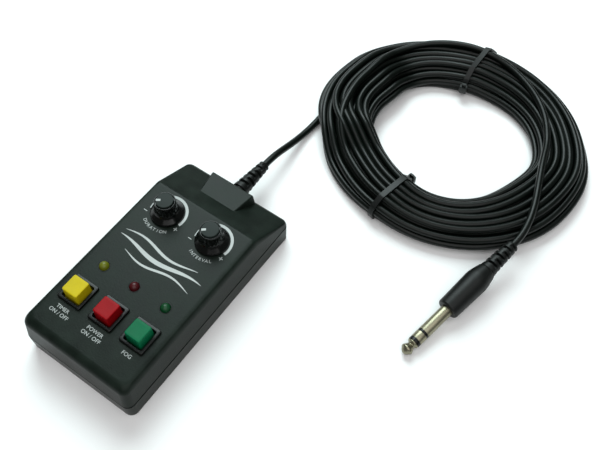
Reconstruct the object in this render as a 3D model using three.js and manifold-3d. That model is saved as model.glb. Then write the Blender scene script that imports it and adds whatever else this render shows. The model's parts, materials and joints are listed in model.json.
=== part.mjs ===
// Wired timer remote for a fog machine, with a coiled cord and a 6.35 mm three-pole plug.
// Millimetres, +Z up. The origin is the middle of the case's underside; +Y points to the cord.
import * as THREE from "three";
import { ConvexGeometry } from "three/addons/geometries/ConvexGeometry.js";
import { mergeVertices } from "three/addons/utils/BufferGeometryUtils.js";
import Module from "manifold-3d";

const wasm = await Module();
wasm.setup();

// ---- driving dimensions -------------------------------------------------------------------
const GAP = 0.3; // clearance left between touching pieces

// case
const HALF_W = 32.7;
const FRONT_Y = 60.7; // how far the case reaches to the front of the origin
const REAR_Y = 60.7; // and to the rear
const CORNER_R = 4;
const REAR_CORNER_R = 3;
const WALL = 2.2;
const PANEL_Z = 26.2; // top of the flat control panel
const PANEL_REAR_Y = 35.7; // where the panel turns down into the rear slope
const REAR_WALL_Z = 14.2; // top of the low rear wall
const PARTING_Z = 11; // middle of the groove between the two shells
const UNDER_PANEL_Z = PANEL_Z - WALL;

// raised cable block on the rear slope
const BLOCK_X = -1.4;
const BLOCK_Z = 21;
const BLOCK_FRONT_Y = 45.2;
const BLOCK_REAR_Y = 59.2;
const BLOCK_FRONT_HALF = 11.2;
const BLOCK_REAR_HALF = 13.2;

// cord entry
const ENTRY = new THREE.Vector3(0.9, 60.4, 14.4);
const ENTRY_DROOP = 4.5; // degrees below level
const BOOT_LEN = 22;
const CORD_R = 1.9;

// controls
const BUTTON_X = [-19, 0, 19];
const BUTTON_Y = -33.8;
const LED_Y = -16.5;
const BUTTON_W = 9.1;
const BUTTON_D = 9.2;
const BUTTON_TOP = 32.8;
const BUTTON_TRAVEL = 2;
const KNOB_X = [-14.1, 14.1];
const KNOB_Y = 23.8;

// circuit board
const BOARD_TOP = 11.8;
const BOARD_T = 1.6;
const ON_BOARD = BOARD_TOP + GAP;

// cord coil
const COIL = new THREE.Vector3(72, 159.8, 8.4);
const COIL_R = 57.1; // to the middle of the bundle
const BUNDLE_HALF_W = 16.6;
const BUNDLE_HALF_H = 6.8;
const TIE_ANGLES = [104, 265];

// plug, from its tip to the cord end of its boot
const PLUG_TIP = new THREE.Vector3(116.4, 37.9, 2.9);
const PLUG_END = new THREE.Vector3(132.1, 115.3, 13);
const PLUG_R = 3.175;
const SLEEVE_END = 30.5; // bare metal length
const BOOT_START = 60.1;
const PLUG_LEN = PLUG_TIP.distanceTo(PLUG_END);

// ---- materials ----------------------------------------------------------------------------
const material = (color, roughness, metalness = 0) =>
  new THREE.MeshStandardMaterial({ color, roughness, metalness });
const ABS = material(0x2e3334, 0.6);
const BEZEL = material(0x111312, 0.35);
const GLOSS = material(0x0c0d0c, 0.2);
const CAP = material(0x3c4245, 0.6);
const STEEL = material(0xa8a8a4, 0.35, 1);
const NICKEL = material(0xb9b3a0, 0.25, 1);
const BRASS = material(0xb09a5e, 0.4, 1);
const PVC = material(0x101211, 0.45);
const RUBBER = material(0x141615, 0.6);
const BOARD = material(0x1f5a38, 0.5);
const CHIP = material(0x17181a, 0.5);
const HEADER = material(0xd8d6cc, 0.5);
const FUNCTIONS = [
  { name: "timer", button: material(0xd2b91f, 0.4), led: material(0x8f8420, 0.2) },
  { name: "power", button: material(0xb01f26, 0.4), led: material(0x6d1318, 0.2) },
  { name: "fog", button: material(0x1b8a58, 0.4), led: material(0x0f4a2c, 0.2) },
];

// ---- small tools --------------------------------------------------------------------------
const group = new THREE.Group();

function add(name, geometry, mat, parent = group) {
  const mesh = new THREE.Mesh(geometry, mat);
  mesh.name = name;
  parent.add(mesh);
  return mesh;
}

function solid(geometry) {
  const bare = geometry.clone();
  bare.deleteAttribute("normal");
  bare.deleteAttribute("uv");
  const merged = mergeVertices(bare, 1e-4);
  return new wasm.Manifold(
    new wasm.Mesh({
      numProp: 3,
      vertProperties: merged.attributes.position.array,
      triVerts: new Uint32Array(merged.index.array),
    }),
  );
}

function geometryOf(manifold) {
  const mesh = manifold.getMesh();
  return new THREE.BufferGeometry()
    .setAttribute("position", new THREE.BufferAttribute(mesh.vertProperties, 3))
    .setIndex(new THREE.BufferAttribute(mesh.triVerts, 1));
}

// Joins the first list of geometries and cuts the second list from it.
function carve(parts, cuts = []) {
  let body = solid(parts[0]);
  for (const part of parts.slice(1)) body = body.add(solid(part));
  for (const cut of cuts) body = body.subtract(solid(cut));
  return geometryOf(body);
}

function box(width, depth, z0, z1, x = 0, y = 0) {
  return new THREE.BoxGeometry(width, depth, z1 - z0).translate(x, y, (z0 + z1) / 2);
}

function rod(radius, z0, z1, x = 0, y = 0, sides = 14) {
  return new THREE.CylinderGeometry(radius, radius, z1 - z0, sides)
    .rotateX(Math.PI / 2)
    .translate(x, y, (z0 + z1) / 2);
}

function turned(points, sides = 16) {
  const profile = points.map(([r, z]) => new THREE.Vector2(r, z));
  return new THREE.LatheGeometry(profile, sides).rotateX(Math.PI / 2);
}

function roundedRect(width, depth, radius) {
  const [w, d] = [width / 2, depth / 2];
  const shape = new THREE.Shape();
  shape.moveTo(-w + radius, -d);
  shape.lineTo(w - radius, -d);
  shape.absarc(w - radius, -d + radius, radius, -Math.PI / 2, 0);
  shape.lineTo(w, d - radius);
  shape.absarc(w - radius, d - radius, radius, 0, Math.PI / 2);
  shape.lineTo(-w + radius, d);
  shape.absarc(-w + radius, d - radius, radius, Math.PI / 2, Math.PI);
  shape.lineTo(-w, -d + radius);
  shape.absarc(-w + radius, -d + radius, radius, Math.PI, 1.5 * Math.PI);
  return shape;
}

function slab(width, depth, radius, z0, z1) {
  const shape = roundedRect(width, depth, radius);
  const options = { depth: z1 - z0, bevelEnabled: false, curveSegments: 2 };
  return new THREE.ExtrudeGeometry(shape, options).translate(0, 0, z0);
}

function tube(points, radius, steps, sides = 8) {
  const section = new THREE.Shape();
  for (let i = 0; i < sides; i++) {
    const a = (2 * Math.PI * i) / sides;
    section[i ? "lineTo" : "moveTo"](radius * Math.cos(a), radius * Math.sin(a));
  }
  const path = new THREE.CatmullRomCurve3(points, false, "centripetal");
  return new THREE.ExtrudeGeometry(section, { steps, extrudePath: path, bevelEnabled: false });
}

const rad = THREE.MathUtils.degToRad;

// ---- case ---------------------------------------------------------------------------------
// The case's outer form drawn in by `inset`: rounded corners, leaning sides, a softened top edge
// and the slope down to the low rear wall.
function caseForm(inset) {
  const points = [];
  const corner = (sy, z, dx, dy) => {
    const radius = Math.max((sy > 0 ? REAR_CORNER_R : CORNER_R) - inset, 1.5);
    const cx = HALF_W - inset - dx - radius;
    const cy = (sy > 0 ? REAR_Y : FRONT_Y) - inset - dy - radius;
    for (const sx of [-1, 1])
      for (let i = 0; i <= 3; i++) {
        const a = (Math.PI / 6) * i;
        const x = sx * (cx + radius * Math.cos(a));
        points.push(new THREE.Vector3(x, sy * (cy + radius * Math.sin(a)), z));
      }
  };
  const foot = [
    [inset, 0.8, 0.8],
    [inset + 0.8, 0.3, 0.3],
    [PARTING_Z, 0, 0],
  ];
  const shoulder = [
    [PANEL_Z - 4.4, 0.7, 1.3],
    [PANEL_Z - 1.3 - inset, 1.2, 2.7],
    [PANEL_Z - inset, 2.5, 5],
  ];
  const low = [
    [REAR_WALL_Z - 1.2 - inset, 0.4, 0.3],
    [REAR_WALL_Z - inset, 1.6, 1.2],
  ];
  for (const [z, dx, dy] of foot) {
    corner(-1, z, dx, dy);
    corner(1, z, dx, dy);
  }
  for (const [z, dx, dy] of shoulder) {
    corner(-1, z, dx, dy);
    for (const sx of [-1, 1])
      points.push(new THREE.Vector3(sx * (HALF_W - inset - dx), PANEL_REAR_Y, z));
  }
  for (const [z, dx, dy] of low) corner(1, z, dx, dy);
  return new ConvexGeometry(points);
}

function cableBlock() {
  const points = [];
  for (const sx of [-1, 1])
    for (const [z, flare] of [[BLOCK_Z, 0], [REAR_WALL_Z - 1.5, 1]]) {
      const front = BLOCK_X + sx * (BLOCK_FRONT_HALF + 0.3 * flare);
      const rear = BLOCK_X + sx * (BLOCK_REAR_HALF + flare);
      points.push(new THREE.Vector3(front, BLOCK_FRONT_Y, z));
      points.push(new THREE.Vector3(rear, BLOCK_REAR_Y + 0.4 * flare, z));
    }
  return new ConvexGeometry(points);
}

const CASE_SCREWS = [[-26.5, -52.5], [26.5, -52.5], [-26.5, 51], [26.5, 51]];
const BOARD_SCREWS = [[-23.5, -42.5], [23.5, -42.5], [-23.5, 38], [23.5, 38]];
const FAR = 200;

function entryHole() {
  return rod(3.9, -20, 20).rotateX(-Math.PI / 2).translate(ENTRY.x, ENTRY.y, ENTRY.z);
}

function topShell() {
  const outside = solid(caseForm(0)).add(solid(cableBlock()));
  const above = solid(box(FAR, FAR, PARTING_Z + 0.2, FAR));
  const pocket = box(19, 11.4, PARTING_Z - 1, BLOCK_Z - 1.4, BLOCK_X, BLOCK_REAR_Y - 7.5);
  let shell = outside.intersect(above).subtract(solid(caseForm(WALL))).subtract(solid(pocket));
  for (const [x, y] of CASE_SCREWS) {
    const top = y > 0 ? REAR_WALL_Z + 1.6 : UNDER_PANEL_Z + 0.8;
    shell = shell.add(solid(rod(3.3, 9.3, top, x, y))).subtract(solid(rod(1.7, 9, 14.3, x, y, 10)));
  }
  for (const [x, y] of BOARD_SCREWS) {
    const top = y > 0 ? UNDER_PANEL_Z - 0.6 : UNDER_PANEL_Z + 0.8;
    shell = shell.add(solid(rod(3, ON_BOARD, top, x, y))).subtract(solid(rod(1.5, 11, 17.3, x, y, 10)));
  }
  for (const x of BUTTON_X) {
    const opening = slab(12.4, 12.7, 0.8, 19, 30).translate(x, BUTTON_Y, 0);
    shell = shell.subtract(solid(opening)).subtract(solid(rod(3.4, 20, 30, x, LED_Y)));
  }
  for (const x of KNOB_X) shell = shell.subtract(solid(rod(3.8, 20, 30, x, KNOB_Y)));
  return geometryOf(shell.subtract(solid(entryHole())));
}

function bottomShell() {
  const below = solid(box(FAR, FAR, -FAR, PARTING_Z - 0.2));
  let shell = solid(caseForm(0)).intersect(below).subtract(solid(caseForm(WALL)));
  // the locating lip that stands up inside the top shell
  const band = solid(box(FAR, FAR, 7, PARTING_Z + 1.4));
  const lip = solid(caseForm(WALL + GAP + 0.05)).subtract(solid(caseForm(WALL + 1.4)));
  const root = solid(caseForm(WALL - 0.4)).subtract(solid(caseForm(WALL + 1.4)));
  shell = shell.add(lip.intersect(band)).add(
    root.intersect(solid(box(FAR, FAR, 6, PARTING_Z - 0.6))),
  );
  // the lip makes room for the cord's gland
  shell = shell.subtract(solid(box(24, 7.6, PARTING_Z - 1.6, FAR, ENTRY.x, REAR_Y - 6.1)));
  shell = shell.subtract(solid(entryHole()));
  for (const [x, y] of CASE_SCREWS) {
    shell = shell.add(solid(rod(4, 1, 9, x, y))).subtract(solid(rod(3.1, -1, 3.1, x, y)));
    shell = shell.subtract(solid(rod(1.7, 2, 12, x, y, 10))).subtract(solid(rod(3.7, 9.001, 14, x, y)));
  }
  return geometryOf(shell);
}

function screw(headR, headZ, headH, shankR, tipZ) {
  return carve(
    [rod(headR, headZ, headZ + headH, 0, 0, 12), rod(shankR, headZ + headH - 0.2, tipZ, 0, 0, 8)],
    [box(0.8, 2 * headR + 1, headZ - 1, headZ + 0.7)],
  );
}

add("top_shell", topShell(), ABS);
add("bottom_shell", bottomShell(), ABS);
CASE_SCREWS.forEach(([x, y], i) => {
  add(`case_screw_${i + 1}`, screw(2.7, 0.8, 2, 1.4, 14), STEEL).position.set(x, y, 0);
});

// ---- circuit board and what it carries ----------------------------------------------------
const boardHoles = BOARD_SCREWS.map(([x, y]) => rod(1.5, 5, 15, x, y, 10));
const boardZ = BOARD_TOP - BOARD_T;
add("circuit_board", carve([box(53, 88, boardZ, BOARD_TOP, 0, -2.5)], boardHoles), BOARD);
BOARD_SCREWS.forEach(([x, y], i) => {
  const head = boardZ - GAP - 1.6;
  add(`board_screw_${i + 1}`, screw(2.3, head, 1.6, 1.2, 17), STEEL).position.set(x, y, 0);
});

const chip = [box(6.4, 9.6, ON_BOARD + 0.5, ON_BOARD + 3.8)];
for (const sx of [-1, 1])
  for (let i = 0; i < 4; i++)
    chip.push(box(0.6, 0.5, ON_BOARD, ON_BOARD + 2, sx * 3.4, 2.54 * (i - 1.5)));
add("timer_chip", carve(chip), CHIP).position.set(0, 3, 0);
add("capacitor", rod(3.15, ON_BOARD, ON_BOARD + 8), CHIP).position.set(-13, 4, 0);
const headerCuts = [-1, 0, 1].map((i) => rod(0.9, ON_BOARD + 3, 30, 3 * i, 0, 10));
add("wire_header", carve([box(10, 5, ON_BOARD, ON_BOARD + 6)], headerCuts), HEADER)
  .position.set(ENTRY.x, 37.4, 0);

// ---- push buttons and indicator lamps -----------------------------------------------------
const SWITCH_TOP = 16;
const FLANGE_Z = 21.4;
const NECK_Z = 23.2;

function buttonSolid() {
  const edge = 0.5;
  const cap = new THREE.ExtrudeGeometry(roundedRect(BUTTON_W - 2 * edge, BUTTON_D - 2 * edge, 0.8), {
    depth: BUTTON_TOP - FLANGE_Z - 2 * edge,
    bevelThickness: edge,
    bevelSize: edge,
    bevelSegments: 1,
    curveSegments: 2,
  }).translate(0, 0, FLANGE_Z + edge);
  const flange = slab(11.4, 11.7, 0.8, FLANGE_Z, NECK_Z - GAP);
  return carve([cap, flange, box(3.4, 3.4, SWITCH_TOP - 0.8, FLANGE_Z + 1)]);
}

function bezelSolid() {
  const rim = slab(13.9, 14.2, 1, PANEL_Z + GAP, PANEL_Z + 1.4);
  const neck = slab(11.8, 12.1, 0.6, NECK_Z, PANEL_Z + 1);
  return carve([rim, neck], [slab(BUTTON_W + 1.5, BUTTON_D + 1.7, 1, 20, 30)]);
}

function springSolid(z0, z1, radius, turns) {
  const points = [];
  const per = 8;
  for (let i = 0; i <= turns * per; i++) {
    const a = (2 * Math.PI * i) / per;
    const z = z0 + ((z1 - z0) * i) / (turns * per);
    points.push(new THREE.Vector3(radius * Math.cos(a), radius * Math.sin(a), z));
  }
  return tube(points, 0.3, turns * per, 4);
}

function lampSolid() {
  const dome = [];
  for (let i = 0; i <= 3; i++) {
    const a = rad(30 * i);
    dome.push([2.5 * Math.cos(a), 25.9 + 2.5 * Math.sin(a)]);
  }
  dome[3][0] = 0;
  const bulb = turned([[0, 21], [2.9, 21], [2.9, 21.8], [2.5, 21.8], ...dome], 12);
  const leads = [-1.27, 1.27].map((x) => box(0.6, 0.6, ON_BOARD, 21.4, x, 0));
  return carve([bulb, ...leads]);
}

FUNCTIONS.forEach(({ name, button, led }, i) => {
  const controls = new THREE.Group();
  controls.position.set(BUTTON_X[i], BUTTON_Y, 0);
  group.add(controls);
  add(`${name}_button`, buttonSolid(), button, controls);
  add(`${name}_bezel`, bezelSolid(), BEZEL, controls);
  const well = box(4.2, 4.2, SWITCH_TOP - BUTTON_TRAVEL - 1.1, 30);
  add(`${name}_switch_body`, carve([box(8.5, 8.5, ON_BOARD, SWITCH_TOP)], [well]), CHIP, controls);
  add(`${name}_spring`, springSolid(SWITCH_TOP + 0.6, FLANGE_Z - 0.6, 3.2, 3), STEEL, controls);
  const lamp = new THREE.Group();
  lamp.position.set(BUTTON_X[i], LED_Y, 0);
  group.add(lamp);
  add(`${name}_led`, lampSolid(), led, lamp);
  const ring = [[2.8, 22.1], [4.2, 22.1], [4.2, 23.7], [3.1, 23.7], [3.1, 26.1], [2.8, 26.1], [2.8, 22.1]];
  add(`${name}_led_holder`, turned(ring, 14), BEZEL, lamp);
});

// ---- the two timing controls --------------------------------------------------------------
const BUSHING_TOP = 29.6;
const KNOB_TOP = 36.8;

function knobSolid() {
  const skirt = turned([[0, 26.5], [8.6, 26.5], [8.6, 27.5], [6.1, 30.1], [6.1, 30.7], [0, 30.7]], 28);
  const teeth = 18;
  const flutes = new THREE.Shape();
  for (let i = 0; i < 2 * teeth; i++) {
    const a = (Math.PI * i) / teeth;
    const r = i % 2 ? 5.25 : 5.65;
    flutes[i ? "lineTo" : "moveTo"](r * Math.cos(a), r * Math.sin(a));
  }
  const grip = new THREE.ExtrudeGeometry(flutes, { depth: KNOB_TOP - 30.3, bevelEnabled: false });
  const cuts = [rod(6.2, 20, 29), rod(3.9, 20, 30), rod(3.3, 20, 34.9), rod(4.8, KNOB_TOP - 1.2, 50)];
  return carve([skirt, grip.translate(0, 0, 30.3)], cuts);
}

function potBodySolid() {
  const can = rod(8.25, 15.8, UNDER_PANEL_Z - GAP, 0, 0, 20);
  const bushing = rod(3.5, UNDER_PANEL_Z - 1, BUSHING_TOP);
  const terminals = box(12, 1.4, ON_BOARD, 18, 0, -6);
  return carve([can, bushing, terminals], [rod(2.75, 16.7, 40)]);
}

function potShaftSolid() {
  const shaft = [rod(2.4, 17, 31), rod(3, BUSHING_TOP + GAP, 34.6)];
  return carve(shaft, [box(8, 4, 31, 40, 0, -4.2)]);
}

["duration", "interval"].forEach((name, i) => {
  const control = new THREE.Group();
  control.position.set(KNOB_X[i], KNOB_Y, 0);
  group.add(control);
  add(`${name}_knob`, knobSolid(), GLOSS, control);
  const cap = [[0, 35.9], [4.5, 35.9], [4.5, 37.2], [4.1, 37.6], [0, 37.6]];
  add(`${name}_knob_cap`, turned(cap, 20), CAP, control);
  add(`${name}_pot_body`, potBodySolid(), STEEL, control);
  add(`${name}_pot_shaft`, potShaftSolid(), BRASS, control);
  const nut = rod(5 / Math.cos(Math.PI / 6), 27.3, 28.7, 0, 0, 6);
  add(`${name}_pot_nut`, carve([nut], [rod(3.8, 20, 40)]), STEEL, control);
  const washer = carve([rod(5.9, PANEL_Z + GAP, 27)], [rod(3.8, 20, 40)]);
  add(`${name}_pot_washer`, washer, STEEL, control);
});

// ---- cord entry ---------------------------------------------------------------------------
// Profile along the boot from the gland's inner head to its thin end, with its ring grooves.
function bootProfile(start, end, thick, thin, count, depth) {
  const points = [];
  const pitch = (end - start) / count;
  for (let i = 0; i < count; i++) {
    const z = start + i * pitch;
    const r = thick + ((thin - thick) * i) / (count - 1);
    points.push([r, z], [r, z + 0.62 * pitch], [r - depth, z + 0.68 * pitch], [r - depth, z + 0.94 * pitch]);
  }
  points.push([thin - 0.2, end]);
  return points;
}

const relief = [[2.2, -6], [4.4, -6], [4.4, -3.7], [3.4, -3.7], [3.4, 0.9], [4.5, 0.9], [4.5, 1.9]];
relief.push(...bootProfile(2.1, BOOT_LEN, 4.4, 2.9, 6, 0.45), [2.2, BOOT_LEN], [2.2, -6]);
const reliefMesh = add("strain_relief", turned(relief, 12), RUBBER);
reliefMesh.position.copy(ENTRY);
reliefMesh.rotation.x = -Math.PI / 2 - rad(ENTRY_DROOP);

const alongBoot = (s) =>
  new THREE.Vector3(0, Math.cos(rad(ENTRY_DROOP)), -Math.sin(rad(ENTRY_DROOP)))
    .multiplyScalar(s)
    .add(ENTRY);
const lead = [-8.5, -2, 5, 12, 19, 24].map(alongBoot);
for (const point of [
  [0.9, 92, 11.6],
  [1.0, 101, 8.2],
  [1.2, 111, 4.6],
  [1.4, 121, 2.4],
  [1.6, 130, 1.95],
  [1.8, 137, 1.95],
])
  lead.push(new THREE.Vector3(...point));
add("cord_lead", tube(lead, CORD_R, 12), PVC);

// ---- coil and its ties --------------------------------------------------------------------
function bundleProfile(grow, count) {
  const points = [];
  for (let i = 0; i < count; i++) {
    const a = (2 * Math.PI * i) / count;
    const r = COIL_R + (BUNDLE_HALF_W + grow) * Math.cos(a);
    points.push([r, (BUNDLE_HALF_H + grow) * Math.sin(a)]);
  }
  return points;
}

// How far the hand-wound bundle strays outwards from its circle at the angle `a`.
const stray = (a) =>
  -0.2 - 1.5 * Math.cos(a) + 1.8 * Math.sin(a) + 3.3 * Math.cos(2 * a) +
  -0.9 * Math.cos(3 * a) + 0.8 * Math.sin(3 * a);

function coilSolid() {
  const profile = bundleProfile(0, 10);
  const ring = turned([...profile, profile[0]], 36);
  const place = ring.getAttribute("position");
  for (let i = 0; i < place.count; i++) {
    const [x, y] = [place.getX(i), place.getY(i)];
    const grow = 1 + stray(Math.atan2(y, x)) / Math.hypot(x, y);
    place.setXY(i, x * grow, y * grow);
  }
  return ring;
}

add("cord_coil", coilSolid(), PVC).position.copy(COIL);

TIE_ANGLES.forEach((angle, i) => {
  const outline = (grow) => bundleProfile(grow, 16).map(([r, z]) => new THREE.Vector2(r, z));
  const loop = new THREE.Shape(outline(1.5));
  loop.holes.push(new THREE.Path(outline(0.5)));
  const strap = new THREE.ExtrudeGeometry(loop, { depth: 2.8, bevelEnabled: false })
    .translate(0, 0, -1.4)
    .rotateX(Math.PI / 2);
  const head = box(3, 4.4, -2.4, 2.4, COIL_R - BUNDLE_HALF_W - 2.5, 0);
  const tie = add(`cable_tie_${i + 1}`, carve([strap, head]).translate(stray(rad(angle)), 0, 0), PVC);
  tie.position.copy(COIL);
  tie.rotation.z = rad(angle);
});

// ---- plug ---------------------------------------------------------------------------------
const plug = new THREE.Group();
const plugAxis = PLUG_END.clone().sub(PLUG_TIP).normalize();
plug.position.copy(PLUG_TIP);
plug.quaternion.setFromUnitVectors(new THREE.Vector3(0, 0, 1), plugAxis);
group.add(plug);

const ROD_R = 0.8;
const BORE_R = ROD_R + GAP;
const tip = [[0, 0], [0.9, 0.15], [2, 1.1], [3.1, 2.4], [PLUG_R, 3], [2.1, 4.9], [1.75, 5.6]];
tip.push([2.6, 6.3], [2.9, 6.6], [2.9, 7.1], [ROD_R, 7.1], [ROD_R, 36], [0, 36]);
add("plug_tip", turned(tip, 14), NICKEL, plug);

const collar = (z0, z1, r) => turned([[BORE_R, z0], [r, z0], [r, z1], [BORE_R, z1], [BORE_R, z0]], 14);
add("plug_insulator_1", collar(7.4, 8.8, PLUG_R), BEZEL, plug);
add("plug_ring", collar(9.1, 13.1, PLUG_R), NICKEL, plug);
add("plug_insulator_2", collar(13.4, 14.4, PLUG_R), BEZEL, plug);
add("plug_sleeve", collar(14.7, 38, PLUG_R), NICKEL, plug);
const BODY_FRONT = SLEEVE_END + GAP;
const body = [[PLUG_R + GAP, BODY_FRONT], [5.3, BODY_FRONT], [5.8, 31.6], [6.3, 52], [6, 54.5]];
body.push([4.7, BOOT_START - GAP], [0, BOOT_START - GAP], [0, 38.3], [PLUG_R + GAP, 38.3]);
body.push([PLUG_R + GAP, BODY_FRONT]);
add("plug_body", turned(body, 16), RUBBER, plug);
const bootPoints = bootProfile(BOOT_START, PLUG_LEN - GAP, 4.3, 3.3, 6, 0.6);
add("plug_boot", turned([[0, BOOT_START], ...bootPoints, [0, PLUG_LEN - GAP]], 12), RUBBER, plug);

// The tail rises from the plug over the bundle's shoulder and lies across the coil.
const tail = [PLUG_END.clone()];
for (const point of [
  [133.3, 121.2, 14.4],
  [133.6, 129, 16.4],
  [132.2, 138, 17.3],
  [128.5, 150, 17.5],
  [123, 161, 17.4],
  [117, 170.2, 17.3],
])
  tail.push(new THREE.Vector3(...point));
add("cord_tail", tube(tail, CORD_R, 8), PVC);

export default group;
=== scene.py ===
"""Looks of the wired timer remote: case, controls, printed panel, coiled cord and plug."""

import json
import math

import bmesh
import bpy
from mathutils import Matrix, Vector
from mathutils.geometry import convex_hull_2d


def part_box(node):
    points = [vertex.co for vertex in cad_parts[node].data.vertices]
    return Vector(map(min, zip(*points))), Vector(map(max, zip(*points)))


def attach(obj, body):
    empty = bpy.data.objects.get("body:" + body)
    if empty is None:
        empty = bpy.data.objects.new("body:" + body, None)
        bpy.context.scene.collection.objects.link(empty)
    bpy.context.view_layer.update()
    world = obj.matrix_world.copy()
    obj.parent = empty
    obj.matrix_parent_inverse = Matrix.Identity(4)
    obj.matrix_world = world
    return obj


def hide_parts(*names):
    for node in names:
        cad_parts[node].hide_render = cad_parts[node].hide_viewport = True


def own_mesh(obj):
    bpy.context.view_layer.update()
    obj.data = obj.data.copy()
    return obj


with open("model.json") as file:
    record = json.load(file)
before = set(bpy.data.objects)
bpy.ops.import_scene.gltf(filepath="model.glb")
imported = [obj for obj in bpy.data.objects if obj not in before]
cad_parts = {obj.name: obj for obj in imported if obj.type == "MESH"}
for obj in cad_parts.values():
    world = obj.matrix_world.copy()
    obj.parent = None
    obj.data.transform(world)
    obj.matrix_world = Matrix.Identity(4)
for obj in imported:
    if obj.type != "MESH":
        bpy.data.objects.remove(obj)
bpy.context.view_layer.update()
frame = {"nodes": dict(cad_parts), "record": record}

MM = 0.001

# ---- places taken from the frame --------------------------------------------------------------
case_low, case_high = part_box("bottom_shell")
HALF_W = (case_high[0] - case_low[0]) / 2
HALF_L = (case_high[1] - case_low[1]) / 2
PANEL_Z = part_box("top_shell")[1][2]
BODIES = {
    "timer": "timer_push",
    "power": "power_push",
    "fog": "fog_push",
    "duration": "duration_control",
    "interval": "interval_control",
}


def middle(node):
    low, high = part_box(node)
    return (Vector(low) + Vector(high)) / 2


BUTTONS = {name: middle(f"{name}_button").xy for name in ("timer", "power", "fog")}
LAMPS = {name: middle(f"{name}_led").xy for name in BUTTONS}
KNOBS = {name: middle(f"{name}_knob").xy for name in ("duration", "interval")}
COIL = Vector((72, 159.8, 0)) * MM

# ---- the case's form, as in the CAD ------------------------------------------------------------
CORNER_R = 4 * MM
REAR_CORNER_R = 3 * MM
WALL = 2.2 * MM
RIDGE_Y = 35.7 * MM
SLOPE = 0.504
RIDGE_SOFT = 0.3 * MM
PARTING_Z = 11.0 * MM
HALF_GROOVE = 0.45 * MM
EDGE_DROP = 4.3 * MM

# cord, from inside the case to inside the plug
CORD_R = 1.9 * MM
ENTRY = Vector((0.9, 60.4, 14.4)) * MM
DROOP = math.radians(4.5)
PLUG_TIP = Vector((116.4, 37.9, 2.9)) * MM
PLUG_END = Vector((132.1, 115.3, 13.0)) * MM
ROWS = (7, 8, 7, 5)
STRAND_PITCH = 4.15 * MM
ROW_PITCH = 3.25 * MM
COIL_R = 57.1 * MM
TIE_ANGLES = (105, 262)
TIE_SLANTS = (5.5, 1)  # degrees that each strap turns from its middle to its inner end
TIE_T = 1.2 * MM


# ---- camera ------------------------------------------------------------------------------------
def make_camera():
    """The camera stands where the photographer's stood: above the plug end, looking down."""
    yaw, pitch, roll = math.radians(34.857), math.radians(57.921), math.radians(0.587)
    data = bpy.data.cameras.new("camera")
    data.lens = 47.99
    data.sensor_width = 36
    data.clip_start = 0.01
    camera = bpy.data.objects.new("camera", data)
    bpy.context.scene.collection.objects.link(camera)
    turn = Matrix.Rotation(yaw, 4, "Z") @ Matrix.Rotation(math.pi / 2 - pitch, 4, "X")
    turn = turn @ Matrix.Rotation(roll, 4, "Z")
    camera.matrix_world = Matrix.Translation(Vector((167.02, -116.32, 364.91)) * MM) @ turn
    bpy.context.scene.camera = camera


make_camera()


# ---- materials ---------------------------------------------------------------------------------
def new_material(name, colour, roughness, **sockets):
    material = bpy.data.materials.new(name)
    material.use_nodes = True
    shader = material.node_tree.nodes["Principled BSDF"]
    shader.inputs["Base Color"].default_value = (*colour, 1)
    shader.inputs["Roughness"].default_value = roughness
    for socket, value in sockets.items():
        shader.inputs[socket.replace("_", " ")].default_value = value
    return material


def add_grain(material, size, height, spread=0.0, rough_spread=0.0, tint_size=None, detail=3):
    """Bump of grains `size` across, with a slow change of colour and of roughness."""
    nodes, links = material.node_tree.nodes, material.node_tree.links
    shader = nodes["Principled BSDF"]
    where = nodes.new("ShaderNodeTexCoord")
    grain = nodes.new("ShaderNodeTexNoise")
    grain.inputs["Scale"].default_value = 1 / size
    grain.inputs["Detail"].default_value = detail
    links.new(where.outputs["Object"], grain.inputs["Vector"])
    bump = nodes.new("ShaderNodeBump")
    bump.inputs["Distance"].default_value = height
    bump.inputs["Strength"].default_value = 1
    links.new(grain.outputs["Fac"], bump.inputs["Height"])
    links.new(bump.outputs["Normal"], shader.inputs["Normal"])
    slow = nodes.new("ShaderNodeTexNoise")
    slow.inputs["Scale"].default_value = 1 / (tint_size or 12 * size)
    slow.inputs["Detail"].default_value = 5
    links.new(where.outputs["Object"], slow.inputs["Vector"])
    if spread:
        base = shader.inputs["Base Color"].default_value[:]
        ramp = nodes.new("ShaderNodeValToRGB")
        ramp.color_ramp.elements[0].position = 0.3
        ramp.color_ramp.elements[1].position = 0.7
        ramp.color_ramp.elements[0].color = [c * (1 - spread) for c in base[:3]] + [1]
        ramp.color_ramp.elements[1].color = [min(1, c * (1 + spread)) for c in base[:3]] + [1]
        links.new(slow.outputs["Fac"], ramp.inputs["Fac"])
        links.new(ramp.outputs["Color"], shader.inputs["Base Color"])
    if rough_spread:
        rough = shader.inputs["Roughness"].default_value
        scale = nodes.new("ShaderNodeMapRange")
        scale.inputs["To Min"].default_value = max(0.02, rough - rough_spread)
        scale.inputs["To Max"].default_value = min(1, rough + rough_spread)
        links.new(slow.outputs["Fac"], scale.inputs["Value"])
        links.new(scale.outputs["Result"], shader.inputs["Roughness"])
    return material


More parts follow.
